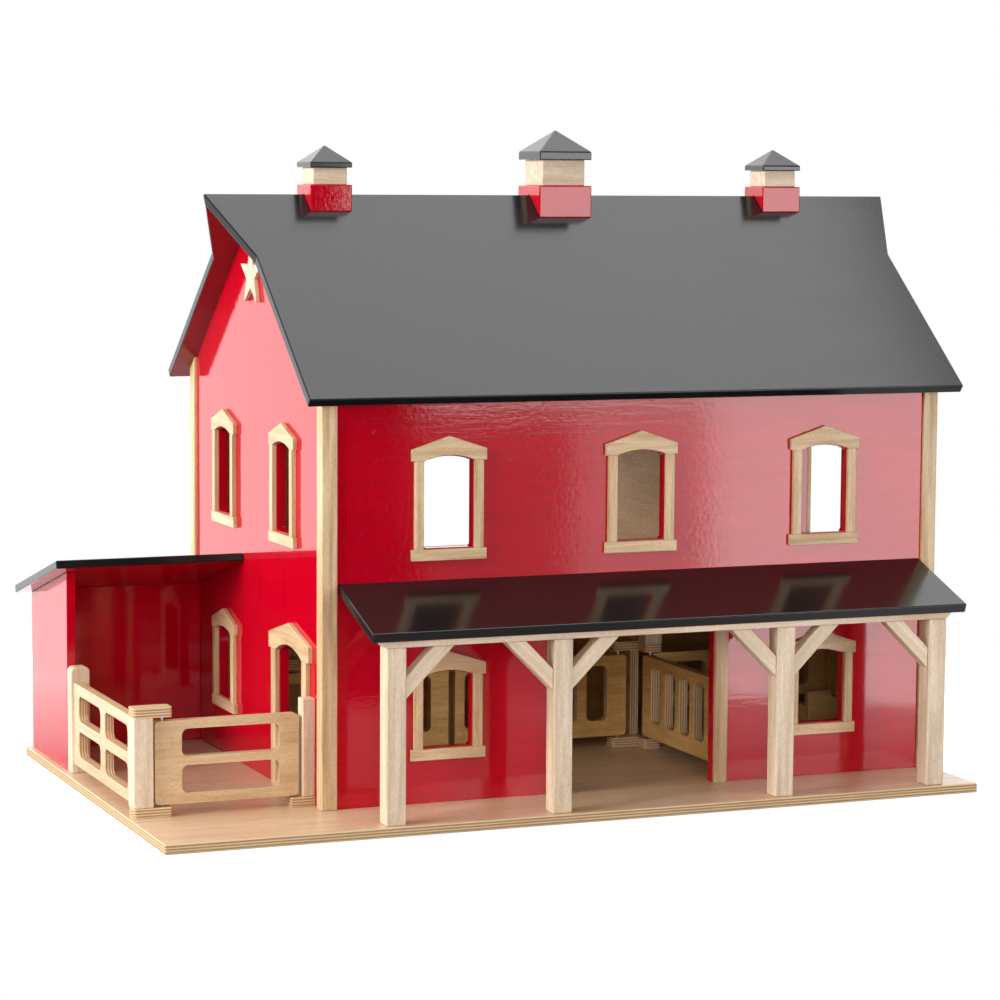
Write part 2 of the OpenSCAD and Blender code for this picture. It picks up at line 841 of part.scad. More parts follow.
module shed_back_wall() {
    y1 = body_d - corner_s;
    y0 = y1 - ply_t;
    x0 = shed_left + ply_t;
    color(red) place() translate([x0, 0, 0]) face_side(wall_out - x0)
        polygon([[y0, 0], [y1, 0], [y1, shed_under(y1)], [y0, shed_under(y0)]]);
}

// Post with the two upper edges along its depth rounded
module shed_post() {
    r = shed_post_r;
    s = yard_post_s;
    color(pine) place() translate([shed_left, shed_y, 0]) face_front(shed_post_d) {
        square([s, shed_post_h - r]);
        translate([r, 0]) square([s - 2 * r, shed_post_h]);
        for (x = [r, s - r]) translate([x, shed_post_h - r]) circle(r);
    }
}

module fence_panel() {
    l = fence_y1 - fence_y0;
    slot_l = (l - 2 * fence_stile - fence_mid) / 2;
    slot_h = (fence_h - 3 * fence_rail) / 2;
    color(birch) place() translate([yard_left + (yard_post_s - ply_t) / 2, fence_y0, fence_z])
        face_side(ply_t) difference() {
            square([l, fence_h]);
            for (y = [fence_stile, fence_stile + slot_l + fence_mid],
                z = [fence_rail, 2 * fence_rail + slot_h])
                translate([y, z]) round_rect(slot_l, slot_h, fence_corner);
        }
}

module yard_post() {
    color(pine) place() translate([yard_left, yard_y, block_t])
        cube([yard_post_s, yard_post_s, yard_cap_z - block_t]);
}

// Flat block with round corners and a pin hole that starts at height z
module pin_block(l, w, x, y, z) {
    difference() {
        linear_extrude(block_t) round_rect(l, w, block_r);
        translate([x, y, z]) cylinder(h = block_t, r = pin_r + pin_fit);
    }
}

module yard_block(z) {
    translate([yard_left, yard_y, 0])
        pin_block(block_l, yard_post_s, yard_post_s + pivot_wall, yard_post_s / 2, z);
}

module yard_foot_block() {
    color(birch) place() yard_block(pin_stop);
}

module yard_cap_block() {
    color(birch) place() translate([0, 0, yard_cap_z]) yard_block(-pin_stop);
}

module latch_strip() {
    color(pine) place() translate([wall_out - latch_t, yard_mid_y - latch_w / 2, block_t])
        cube([latch_t, latch_w, latch_h - block_t]);
}

module latch_foot() {
    color(birch) place() translate([wall_out - latch_foot_l, yard_mid_y - latch_foot_w / 2, 0])
        cube([latch_foot_l, latch_foot_w, block_t]);
}

// Three blocks that hold one end of the stall gates' pins
module gate_blocks(z) {
    translate([wall_in, stall_y - block_w, 0]) pin_block(block_l, block_w, pivot_wall, block_w / 2, z);
    translate([part_2_right - block_l, stall_y - block_w, 0])
        pin_block(block_l, block_w, block_l - ply_t - gate_2_in, block_w / 2, z);
    translate([gate_3_x - block_w / 2, gate_3_pivot - block_w / 2, 0])
        pin_block(block_w, block_w, block_w / 2, block_w / 2, z);
}

module gate_foot_blocks() {
    color(birch) place() gate_blocks(pin_stop);
}

module gate_top_blocks() {
    color(birch) place() translate([0, 0, top_block_z]) gate_blocks(-pin_stop);
}

// Pin holes in the two ends of a gate of height h, on the Z axis
module pivot_holes(h) {
    for (z = [-cut, h - pin_in])
        translate([0, 0, z]) cylinder(h = pin_in + cut, r = pin_r + pin_seat);
}

// Pins of a gate of height h that starts at height z, up to blocks that end at top
module pins(z, h, top) {
    translate([0, 0, pin_stop]) cylinder(h = z + pin_in - pin_stop, r = pin_r);
    translate([0, 0, z + h - pin_in]) cylinder(h = top - z - h + pin_in - 2 * pin_stop, r = pin_r);
}

// Gate with its pivot on the Z axis and its length along X
module stall_gate(l, margin) {
    n = floor((l - margin - slot_free + slot_bar) / (slot_w + slot_bar));
    difference() {
        translate([-pivot_end, ply_t / 2, 0]) face_front(ply_t) difference() {
            round_rect(l, gate_h, gate_corner);
            for (i = [0 : n - 1]) translate([margin + i * (slot_w + slot_bar), slot_bottom])
                round_rect(slot_w, gate_h - slot_bottom - slot_top, slot_r);
        }
        pivot_holes(gate_h);
    }
}

// The next three place a gate and its pins, turned to where the closed gate points
module at_gate_1() {
    place() translate([gate_1_pivot, gate_plane_y, 0]) children();
}

module at_gate_2() {
    place() translate([gate_2_pivot, gate_plane_y, 0]) rotate([0, 0, 180]) children();
}

module at_gate_3() {
    place() translate([gate_3_x, gate_3_pivot, 0]) rotate([0, 0, -90]) children();
}

module stall_pins() {
    pins(gate_z, gate_h, top_block_z + block_t);
}

module stall_gate_1() {
    color(birch) at_gate_1() translate([0, 0, gate_z]) stall_gate(gate_1_l, slot_hinge_1);
}

module stall_gate_1_pins() {
    color(steel) at_gate_1() stall_pins();
}

module stall_gate_2() {
    color(birch) at_gate_2() translate([0, 0, gate_z]) stall_gate(gate_2_l, slot_hinge);
}

module stall_gate_2_pins() {
    color(steel) at_gate_2() stall_pins();
}

module stall_gate_3() {
    color(birch) at_gate_3() translate([0, 0, gate_z]) stall_gate(gate_3_l, slot_hinge);
}

module stall_gate_3_pins() {
    color(steel) at_gate_3() stall_pins();
}

// Gate of the yard with two long slots
module yard_gate() {
    slot_l = yard_gate_l - yard_hinge_stile - yard_free_stile;
    slot_h = (yard_gate_h - yard_low_rail - 2 * yard_rail) / 2;
    color(birch) place() translate([yard_pivot_x, yard_mid_y, yard_gate_z]) difference() {
        translate([-pivot_end, ply_t / 2, 0]) face_front(ply_t) difference() {
            round_rect(yard_gate_l, yard_gate_h, gate_corner);
            for (z = [yard_low_rail, yard_low_rail + yard_rail + slot_h])
                translate([yard_hinge_stile, z]) round_rect(slot_l, slot_h, yard_slot_r);
        }
        pivot_holes(yard_gate_h);
    }
}

module yard_gate_pins() {
    color(steel) place() translate([yard_pivot_x, yard_mid_y, 0])
        pins(yard_gate_z, yard_gate_h, yard_cap_z + block_t);
}

base_board();
front_wall();
left_gable_wall();
right_gable_wall();
back_wall();
corner_post_front_left();
corner_post_front_right();
corner_post_back_left();
corner_post_back_right();
loft_floor();
loft_partition();
stall_partition_1();
stall_partition_2();
slotted_panel();
gate_hanger();
feeder_front();
feeder_side();
roof_front();
roof_back();
cupola_base_left();
cupola_base_middle();
cupola_base_right();
cupola_body_left();
cupola_body_middle();
cupola_body_right();
cupola_cap_left();
cupola_cap_middle();
cupola_cap_right();
gable_star();
porch_roof();
porch_beam();
porch_posts();
porch_braces();
window_trim_upper();
window_trim_lower();
window_trim_gable();
gable_door_trim();
main_door_trim();
loft_door_trim();
shed_roof();
shed_side_wall();
shed_back_wall();
shed_post();
fence_panel();
yard_post();
yard_foot_block();
yard_cap_block();
latch_strip();
latch_foot();
gate_foot_blocks();
gate_top_blocks();
yard_gate();
yard_gate_pins();
stall_gate_1();
stall_gate_1_pins();
stall_gate_2();
stall_gate_2_pins();
stall_gate_3();
stall_gate_3_pins();
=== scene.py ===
import json
import math

import bmesh
import bpy
from mathutils import Matrix, Vector


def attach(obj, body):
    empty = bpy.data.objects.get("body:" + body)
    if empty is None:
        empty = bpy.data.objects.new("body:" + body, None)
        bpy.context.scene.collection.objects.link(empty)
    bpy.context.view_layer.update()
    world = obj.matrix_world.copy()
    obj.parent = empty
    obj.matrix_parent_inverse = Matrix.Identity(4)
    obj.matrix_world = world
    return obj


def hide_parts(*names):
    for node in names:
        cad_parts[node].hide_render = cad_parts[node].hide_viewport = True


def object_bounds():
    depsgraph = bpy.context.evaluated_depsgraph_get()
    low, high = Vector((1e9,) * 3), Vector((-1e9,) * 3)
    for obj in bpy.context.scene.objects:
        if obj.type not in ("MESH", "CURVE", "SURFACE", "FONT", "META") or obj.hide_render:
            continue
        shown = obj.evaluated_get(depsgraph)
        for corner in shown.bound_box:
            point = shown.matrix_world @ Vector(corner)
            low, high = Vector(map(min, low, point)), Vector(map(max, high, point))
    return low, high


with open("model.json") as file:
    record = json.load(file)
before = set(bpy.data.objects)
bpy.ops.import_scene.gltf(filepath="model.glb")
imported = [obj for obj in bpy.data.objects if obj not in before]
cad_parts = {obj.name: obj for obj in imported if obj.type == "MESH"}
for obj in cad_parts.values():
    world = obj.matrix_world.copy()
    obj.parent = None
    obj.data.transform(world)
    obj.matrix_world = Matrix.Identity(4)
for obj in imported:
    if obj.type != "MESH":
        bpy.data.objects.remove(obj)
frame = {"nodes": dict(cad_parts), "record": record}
START_LO, START_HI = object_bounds()
BASE_T = 0.009
# The frame's origin, measured from the barn's front left corner on the base board
ORIGIN = Vector((0.2475, 0.17065, -BASE_T))
X, Y, Z = Vector((1, 0, 0)), Vector((0, 1, 0)), Vector((0, 0, 1))
# Faces smaller than this, in square metres, belong to rounded edges and are shaded smooth
FLAT_AREA = 3e-5
# A face whose normal has more than this of an axis looks along that axis
FACING = 0.75
WELD = 1e-6
BODY_OF = {node: body for body, nodes in frame["record"]["behaviour"]["bodies"].items() for node in nodes}


# Shader helpers
def new_material(name):
    mat = bpy.data.materials.new(name)
    mat.use_nodes = True
    mat.node_tree.nodes.clear()
    return mat, mat.node_tree


def add(tree, kind, inputs=None, **props):
    """Adds a node; inputs maps a socket's name or number to a value or to another socket."""
    node = tree.nodes.new(kind)
    for key, value in props.items():
        setattr(node, key, value)
    for key, value in (inputs or {}).items():
        if isinstance(value, bpy.types.NodeSocket):
            tree.links.new(value, node.inputs[key])
        else:
            node.inputs[key].default_value = value
    return node


def maths(tree, operation, a, b=0.0, clamp=False):
    return add(tree, "ShaderNodeMath", {0: a, 1: b}, operation=operation, use_clamp=clamp).outputs[0]


def ramp(tree, fac, stops, interpolation="LINEAR"):
    node = add(tree, "ShaderNodeValToRGB", {0: fac})
    band = node.color_ramp
    band.interpolation = interpolation
    while len(band.elements) < len(stops):
        band.elements.new(0.5)
    for element, (place, colour) in zip(band.elements, stops):
        element.position = place
        element.color = (*colour, 1.0) if len(colour) == 3 else colour
    return node.outputs[0]


def grey(value):
    return (value, value, value)


def mix(tree, fac, a, b, blend="MIX"):
    node = add(tree, "ShaderNodeMix", {0: fac, 6: a, 7: b}, data_type="RGBA", blend_type=blend)
    return node.outputs[2]


def grain_coords(tree, stretch):
    """The grain attribute: x runs along the grain, y and z across it."""
    source = add(tree, "ShaderNodeAttribute", attribute_name="gc").outputs["Vector"]
    return add(tree, "ShaderNodeMapping", {0: source, 3: stretch}).outputs[0]


def noise(tree, vector, scale, detail=4.0, rough=0.55, distortion=0.0):
    node = add(tree, "ShaderNodeTexNoise", {"Vector": vector, "Scale": scale, "Detail": detail,
                                            "Roughness": rough, "Distortion": distortion})
    return node.outputs[0]


def surface(mat, tree, colour, rough, height=None, depth=0.0, coat=0.0, coat_rough=0.1, metallic=0.0,
            specular=0.5):
    node = add(tree, "ShaderNodeBsdfPrincipled", {"Base Color": colour, "Roughness": rough,
                                                  "Metallic": metallic, "Coat Weight": coat,
                                                  "Coat Roughness": coat_rough,
                                                  "Specular IOR Level": specular})
    if height is not None:
        bump = add(tree, "ShaderNodeBump", {"Height": height, "Strength": 1.0, "Distance": depth})
        tree.links.new(bump.outputs[0], node.inputs["Normal"])
        tree.links.new(bump.outputs[0], node.inputs["Coat Normal"])
    out = add(tree, "ShaderNodeOutputMaterial")
    tree.links.new(node.outputs[0], out.inputs["Surface"])
    return mat


def wood_height(tree):
    return noise(tree, grain_coords(tree, (1.0, 14.0, 14.0)), 90.0, 3.0, 0.6)


def fine_grain(tree):
    """Fine short fibres, a few millimetres long."""
    fibres = noise(tree, grain_coords(tree, (1.0, 4.0, 4.0)), 260.0, 3.0, 0.7)
    return ramp(tree, fibres, [(0.3, grey(0.8)), (0.7, grey(1.1))])


def solid_wood(name, light, dark, rough):
    """Sanded pale wood with long soft streaks, fine pores and a few darker flecks."""
    mat, tree = new_material(name)
    streak = noise(tree, grain_coords(tree, (1.0, 16.0, 16.0)), 9.0, 6.0, 0.62, 0.4)
    pores = noise(tree, grain_coords(tree, (1.0, 30.0, 30.0)), 42.0, 2.0, 0.5)
    drift = noise(tree, grain_coords(tree, (1.0, 3.0, 3.0)), 5.0, 2.0, 0.5)
    base = mix(tree, ramp(tree, streak, [(0.36, grey(0.0)), (0.66, grey(1.0))]), (*light, 1.0), (*dark, 1.0))
    fleck = ramp(tree, pores, [(0.62, grey(0.0)), (0.74, grey(0.35))])
    base = mix(tree, fleck, base, (*(c * 0.62 for c in dark), 1.0))
    tone = ramp(tree, drift, [(0.3, grey(0.9)), (0.7, grey(1.06))])
    base = mix(tree, 1.0, base, tone, "MULTIPLY")
    base = mix(tree, 1.0, base, fine_grain(tree), "MULTIPLY")
    shine = ramp(tree, pores, [(0.3, grey(rough)), (0.75, grey(rough + 0.16))])
    return surface(mat, tree, base, shine, wood_height(tree), 0.00012, 0.12, 0.3)


def ply_face(name, light, dark, rough, coat):
    """Rotary cut veneer: wide wavy figure, fine streaks and short dark pores."""
    mat, tree = new_material(name)
    figure = noise(tree, grain_coords(tree, (1.0, 5.0, 5.0)), 7.0, 5.0, 0.6, 1.6)
    streak = noise(tree, grain_coords(tree, (1.0, 22.0, 22.0)), 14.0, 5.0, 0.65, 0.2)
    pores = noise(tree, grain_coords(tree, (1.0, 12.0, 12.0)), 120.0, 1.0, 0.4)
    blend = maths(tree, "ADD", maths(tree, "MULTIPLY", figure, 0.55), maths(tree, "MULTIPLY", streak, 0.45))
    base = mix(tree, ramp(tree, blend, [(0.38, grey(0.0)), (0.62, grey(1.0))]), (*light, 1.0), (*dark, 1.0))
    fleck = ramp(tree, pores, [(0.64, grey(0.0)), (0.76, grey(0.45))])
    base = mix(tree, fleck, base, (*(c * 0.5 for c in dark), 1.0))
    base = mix(tree, 1.0, base, fine_grain(tree), "MULTIPLY")
    shine = ramp(tree, streak, [(0.3, grey(rough)), (0.7, grey(rough + 0.14))])
    return surface(mat, tree, base, shine, wood_height(tree), 0.0001, coat, 0.24, 0.0, 0.3)


def ply_edge(name, light, dark):
    """Plywood edge: seven plies, the cross plies darker, with thin glue lines between them."""
    mat, tree = new_material(name)
    ply = add(tree, "ShaderNodeAttribute", attribute_name="ply").outputs["Fac"]
    wobble = noise(tree, grain_coords(tree, (1.0, 1.0, 1.0)), 60.0, 3.0, 0.6)
    place = maths(tree, "ADD", ply, maths(tree, "MULTIPLY", maths(tree, "SUBTRACT", wobble, 0.5), 0.03))
    stops = []
    for i in range(7):
        tone = grey(0.0) if i % 2 == 0 else grey(0.86)
        stops += [(i / 7 + 0.016, tone), ((i + 1) / 7 - 0.016, tone)]
        if i < 6:
            stops.append(((i + 1) / 7, grey(1.0)))
    band = ramp(tree, place, stops)
    streak = noise(tree, grain_coords(tree, (1.0, 26.0, 26.0)), 22.0, 4.0, 0.6)
    speck = noise(tree, grain_coords(tree, (3.0, 3.0, 3.0)), 260.0, 2.0, 0.6)
    base = mix(tree, band, (*light, 1.0), (*dark, 1.0))
    base = mix(tree, 1.0, base, ramp(tree, streak, [(0.3, grey(0.84)), (0.7, grey(1.08))]), "MULTIPLY")
    base = mix(tree, ramp(tree, speck, [(0.6, grey(0.0)), (0.78, grey(0.4))]), base,
               (*(c * 0.45 for c in dark), 1.0))
    shine = ramp(tree, speck, [(0.3, grey(0.5)), (0.7, grey(0.68))])
    return surface(mat, tree, base, shine, speck, 0.00015)


def paint(name, colour, shade, rough, spec, coat):
    """Gloss paint over sanded ply: the grain telegraphs faintly, the sheen drifts, with a few specks."""
    mat, tree = new_material(name)
    grain = noise(tree, grain_coords(tree, (1.0, 12.0, 12.0)), 16.0, 5.0, 0.6, 0.6)
    drift = noise(tree, grain_coords(tree, (1.0, 1.6, 1.6)), 6.0, 3.0, 0.55)
    peel = noise(tree, grain_coords(tree, (1.0, 1.0, 1.0)), 260.0, 2.0, 0.5)
    speck = noise(tree, grain_coords(tree, (1.0, 1.0, 1.0)), 900.0, 0.0, 0.5)
    base = mix(tree, ramp(tree, grain, [(0.35, grey(0.0)), (0.7, grey(1.0))]), (*colour, 1.0), (*shade, 1.0))
    shine = maths(tree, "ADD", ramp(tree, drift, [(0.3, grey(rough)), (0.7, grey(rough + 0.035))]),
                  ramp(tree, grain, [(0.4, grey(0.0)), (0.7, grey(0.03))]))
    height = maths(tree, "ADD", maths(tree, "MULTIPLY", grain, 0.7), maths(tree, "MULTIPLY", peel, 0.6))
    dust = ramp(tree, speck, [(0.78, grey(0.0)), (0.84, grey(0.35))])
    height = maths(tree, "ADD", height, dust)
    return surface(mat, tree, base, shine, height, 0.00006, coat, 0.08, 0.0, spec)


def steel_pin():
    mat, tree = new_material("steel_pin")
    rub = noise(tree, grain_coords(tree, (1.0, 40.0, 40.0)), 60.0, 3.0, 0.6)
    base = ramp(tree, rub, [(0.3, (0.5, 0.5, 0.51)), (0.7, (0.68, 0.68, 0.7))])
    shine = ramp(tree, rub, [(0.3, grey(0.22)), (0.7, grey(0.38))])
    return surface(mat, tree, base, shine, rub, 0.00005, 0.0, 0.1, 1.0)


PINE = solid_wood("solid_wood", (0.80, 0.64, 0.48), (0.60, 0.43, 0.27), 0.42)
TRIM = solid_wood("trim_wood", (0.77, 0.55, 0.33), (0.48, 0.29, 0.13), 0.42)
FACE = ply_face("birch_ply", (0.73, 0.51, 0.30), (0.56, 0.35, 0.18), 0.34, 0.4)
INNER = ply_face("birch_inside", (0.80, 0.50, 0.18), (0.56, 0.32, 0.10), 0.55, 0.02)
LOFT = ply_face("birch_loft", (0.92, 0.66, 0.38), (0.76, 0.51, 0.26), 0.55, 0.0)
BOARD = ply_face("birch_board", (0.76, 0.55, 0.36), (0.62, 0.42, 0.25), 0.3, 0.35)
EDGE = ply_edge("birch_ply_edge", (0.72, 0.52, 0.31), (0.34, 0.18, 0.07))
RED = paint("red_paint", (0.50, 0.0006, 0.012), (0.42, 0.0004, 0.010), 0.035, 0.5, 0.0)
# The main roof's underside: the red paint darkened and greyed, as painted shade and a painted grey
# reflection
RED_PAINTED_SHADE = paint("red_underside_painted_shade", (0.30, 0.020, 0.026), (0.26, 0.016, 0.020), 0.12, 0.5, 0.0)
BLACK = paint("black_paint", (0.012, 0.011, 0.011), (0.008, 0.008, 0.008), 0.13, 0.5, 0.0)
RIM = paint("black_edge", (0.010, 0.010, 0.011), (0.006, 0.006, 0.007), 0.16, 0.22, 0.0)
STEEL = steel_pin()


# Geometry helpers
def islands(bm):
    """The separate solids of a mesh, as lists of vertices."""
    bm.verts.ensure_lookup_table()
    left, out = set(bm.verts), []
    for start in bm.verts:
        if start not in left:
            continue
        left.discard(start)
        todo, group = [start], []
        while todo:
            vert = todo.pop()
            group.append(vert)
            for edge in vert.link_edges:
                other = edge.other_vert(vert)
                if other in left:
                    left.discard(other)
                    todo.append(other)
        out.append(group)
    return out


def welded(node):
    """The CAD node's mesh with its corners joined."""
    bm = bmesh.new()
    bm.from_mesh(frame["nodes"][node].data)
    bmesh.ops.remove_doubles(bm, verts=bm.verts, dist=WELD)
    return bm


def join_flat(bm):
    """Joins triangles that lie in one plane into one face."""
    bmesh.ops.dissolve_limit(bm, angle_limit=math.radians(0.4), use_dissolve_boundaries=False,
                             verts=bm.verts, edges=bm.edges)
    return bm


def extents(verts):
    """The lowest and highest corner of a box around the vertices."""
    lo = Vector((min(v.co[i] for v in verts) for i in range(3)))
    hi = Vector((max(v.co[i] for v in verts) for i in range(3)))
    return lo, hi


def strips(node, axis, outward, levels):
    """A flat surround rebuilt from its outer face, cut into strips that touch.

    Each level is a height to cut at, with the range of heights that holds the faces to cut.
    """
    bm = welded(node)
    lo, hi = extents(bm.verts)
    depth = (hi[axis] - lo[axis]) * -outward
    rest = [f for f in bm.faces if f.normal[axis] * outward < 0.99]
    bmesh.ops.delete(bm, geom=rest, context="FACES")
    for first, last, z in levels:
        near = [f for f in bm.faces if first <= f.calc_center_median().z <= last]
        geom = list({v for f in near for v in f.verts}) + list({e for f in near for e in f.edges}) + near
        cut = bmesh.ops.bisect_plane(bm, geom=geom, dist=WELD, plane_co=(0, 0, z), plane_no=(0, 0, 1))
        edges = [e for e in cut["geom_cut"] if isinstance(e, bmesh.types.BMEdge)]
        bmesh.ops.split_edges(bm, edges=edges)
    join_flat(bm)
    made = bmesh.ops.extrude_face_region(bm, geom=list(bm.faces), use_keep_orig=True)["geom"]
    step = [depth if i == axis else 0.0 for i in range(3)]
    bmesh.ops.translate(bm, vec=step, verts=[v for v in made if isinstance(v, bmesh.types.BMVert)])
    bmesh.ops.recalc_face_normals(bm, faces=bm.faces)
    return bm


def long_axis(lo, hi):
    """The direction of the box's longest side."""
    size = hi - lo
    axis = max(range(3), key=lambda i: size[i])
    return Vector((axis == 0, axis == 1, axis == 2))


def thin_axis(lo, hi):
    """The number of the axis along the box's shortest side."""
    size = hi - lo
    return min(range(3), key=lambda i: size[i])


def grain_matrix(direction):
    """Rows are the direction along the grain and two across it."""
    x = direction.normalized()
    helper = Z if abs(x.z) < 0.8 else Y
    y = helper.cross(x).normalized()
    return Matrix((x, y, x.cross(y)))


def dress(bm, grain=None, ply=None):
    """Writes the grain coordinates of each solid and where each vertex lies through the ply."""
    gc = bm.verts.layers.float_vector.new("gc")
    level = bm.verts.layers.float.new("ply")
    for count, group in enumerate(islands(bm)):
        lo, hi = extents(group)
        middle = (lo + hi) / 2
        along = grain(lo, hi) if callable(grain) else (grain or long_axis(lo, hi))
        turn = grain_matrix(along)
        seed = Vector((math.sin(37.7 * middle.x + 3.1 * count), math.sin(51.3 * middle.y + 1.7),
                       math.sin(43.9 * middle.z + 2.3))) * 3.0
        axis = thin_axis(lo, hi) if ply is None else ply
        span = max(hi[axis] - lo[axis], 1e-6)
        for vert in group:
            vert[gc] = turn @ vert.co + seed
            vert[level] = (vert.co[axis] - lo[axis]) / span


def bevel(bm, width, segments=2, angle=25.0):
    """Rounds the edges that are sharper than the angle, in degrees."""
    sharp = [e for e in bm.edges if e.is_manifold and e.calc_face_angle(0.0) > math.radians(angle)]
    bmesh.ops.bevel(bm, geom=sharp, offset=width, offset_type="OFFSET", segments=segments, profile=0.5,
                    affect="EDGES", clamp_overlap=True)


def build(node, bm, materials, pick):
    """Turns the mesh into the node's shown piece. pick(face) gives the number of the face's material."""
    for face in bm.faces:
        face.material_index = pick(face)
        face.smooth = face.calc_area() < FLAT_AREA
    name = "v_" + node
    mesh = bpy.data.meshes.new(name)
    bm.to_mesh(mesh)
    bm.free()
    for mat in materials:
        mesh.materials.append(mat)
    obj = bpy.data.objects.new(name, mesh)
    bpy.context.scene.collection.objects.link(obj)
    weighted = obj.modifiers.new("normals", "WEIGHTED_NORMAL")
    weighted.keep_sharp = True
    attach(obj, BODY_OF[node])
    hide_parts(node)


def first_material(face):
    return 0


def shown(node, materials, pick=first_material, width=0.0009, grain=None, ply=None, bm=None, segments=2):
    """Rounds the node's edges, gives it its grain and shows it."""
    bm = bm or join_flat(welded(node))
    bevel(bm, width, segments)
    dress(bm, grain, ply)
    build(node, bm, materials, pick)


def face_or_edge(axis):
    """Picks the first material for a board's two faces, the second for its edges."""
    return lambda face: 0 if abs(face.normal[axis]) > FACING else 1


# The pieces
def walls():
    """Painted outside and in the openings. The barn's walls are bare birch inside."""
    inner_side = {"front_wall": (1, 1), "left_gable_wall": (0, 1), "right_gable_wall": (0, -1),
                  "back_wall": (1, -1)}
    for node, (axis, sign) in inner_side.items():
        pick = lambda face, a=axis, s=sign: 1 if face.normal[a] * s > FACING else 0
        shown(node, [RED, INNER], pick, 0.0008, grain=Z if axis == 0 else X)
    shown("shed_side_wall", [RED], width=0.0008, grain=Z)
    shown("shed_back_wall", [RED], width=0.0008, grain=X)


def roof_face(face):
    """0 for the top, 1 for the underside, 2 for the edges."""
    if face.normal.z < -0.7:
        return 1
    return 0 if face.normal.z > 0.35 else 2


def roofs():
    """Painted black on top and at the edges, the underside red. The main roof's underside red is darker and
    greyer: painted shade and a painted grey reflection.
    """
    undersides = {"roof_front": RED_PAINTED_SHADE, "roof_back": RED_PAINTED_SHADE, "porch_roof": RED, "shed_roof": RED}
    for node, below in undersides.items():
        shown(node, [BLACK, below, RIM], roof_face, 0.0012, grain=X, segments=3)


def cupolas():
    """Red base, pale body and black cap."""
    for side in ("left", "middle", "right"):
        shown("cupola_base_" + side, [RED], width=0.0012, grain=X)
        shown("cupola_body_" + side, [PINE], width=0.0007, grain=X)
        shown("cupola_cap_" + side, [BLACK], width=0.0009, grain=X)


def solid_parts():
    """Posts, the porch's beam, the latch strip and the gate hanger."""
    for node in ("corner_post_front_left", "corner_post_front_right", "corner_post_back_left",
                 "corner_post_back_right"):
        shown(node, [TRIM], width=0.0009)
    for node in ("porch_posts", "porch_beam", "yard_post", "shed_post", "latch_strip", "gate_hanger"):
        shown(node, [PINE], width=0.0011)


def braces():
    """The porch's slanting braces, with the grain along each of them."""
    bm = join_flat(welded("porch_braces"))
    bevel(bm, 0.0009)
    gc = bm.verts.layers.float_vector.new("gc")
    bm.verts.layers.float.new("ply")
    end = 0.002
    for count, group in enumerate(islands(bm)):
        lo, hi = extents(group)
        top = [v.co.x for v in group if v.co.z > hi.z - end]
        lean = 1.0 if sum(top) / len(top) > (lo.x + hi.x) / 2 else -1.0
        turn = grain_matrix(Vector((lean, 0, 1)))
        for vert in group:
            vert[gc] = turn @ vert.co + Vector((1.3 * count, 0.7 * count, 0.4))
    build("porch_braces", bm, [PINE], first_material)


def star():
    """The star on the left gable."""
    shown("gable_star", [PINE], width=0.0006, grain=Z)


def trims():
    """Each surround is made of flat strips: sill, two sides and a peaked head."""
    base = START_LO[2] + BASE_T
    upper, lower, gable_lift = 0.2246, 0.0405, 0.006
    sill, upper_h, lower_h = 0.0103, 0.081, 0.0675
    gable_door_h, loft, loft_door_h = 0.130, 0.175, 0.136
    side_h = 0.035
    every = (-1.0, 1.0)
    storey = base + 0.19
    low, high = (0.0, storey), (storey, 1.0)

    def window(span, foot, height):
        """The cuts above a window's sill and below its head."""
        return [(*span, base + foot + sill), (*span, base + foot + sill + height)]

    cuts = {
        "window_trim_upper": (1, -1, window(every, upper, upper_h)),
        "window_trim_lower": (1, -1, window(every, lower, lower_h)),
        "window_trim_gable": (0, -1, window(low, lower + gable_lift, lower_h)
                              + window(high, upper + gable_lift, upper_h)),
        "gable_door_trim": (0, -1, [(*every, base + gable_door_h)]),
        "loft_door_trim": (0, 1, [(*every, base + loft + loft_door_h)]),
        "main_door_trim": (1, -1, [])}
    along = lambda lo, hi: Z if hi.z - lo.z > side_h else long_axis(lo, hi)
    for node, (axis, outward, levels) in cuts.items():
        shown(node, [TRIM], width=0.0004, grain=along, bm=strips(node, axis, outward, levels))


def plywood():
    """Bare plywood: veneer on the faces, plies on the edges."""
    shown("base_board", [BOARD, EDGE], face_or_edge(2), 0.0009, grain=X, ply=2)
    shown("loft_floor", [INNER, EDGE], face_or_edge(2), 0.0006, grain=X, ply=2)
    shown("loft_partition", [LOFT, EDGE], face_or_edge(0), 0.0006, grain=Y, ply=0)
    for node in ("stall_partition_1", "stall_partition_2"):
        shown(node, [INNER, EDGE], face_or_edge(0), 0.0008, grain=Y, ply=0)
    shown("slotted_panel", [INNER, EDGE], face_or_edge(1), 0.0008, grain=X, ply=1)
    shown("feeder_front", [INNER, EDGE], face_or_edge(1), 0.0008, grain=X, ply=1)
    shown("feeder_side", [INNER, EDGE], face_or_edge(0), 0.0008, grain=Y, ply=0)
    shown("fence_panel", [FACE, EDGE], face_or_edge(0), 0.0011, grain=Y, ply=0)
    shown("yard_gate", [FACE, EDGE], face_or_edge(1), 0.0011, grain=X, ply=1)
    for number, axis in ((1, 1), (2, 1), (3, 0)):
        shown("stall_gate_%d" % number, [INNER, EDGE], face_or_edge(axis), 0.001, ply=axis)
    for node in ("yard_foot_block", "yard_cap_block", "gate_foot_blocks", "gate_top_blocks", "latch_foot"):
        shown(node, [FACE, EDGE], face_or_edge(2), 0.0008, grain=X, ply=2)


def gate_pins():
    """The steel pins that the gates turn on."""
    for node in ("yard_gate_pins", "stall_gate_1_pins", "stall_gate_2_pins", "stall_gate_3_pins"):
        shown(node, [STEEL], width=0.0002, grain=Z)


walls()
roofs()
cupolas()
solid_parts()
braces()
star()
trims()
plywood()
gate_pins()


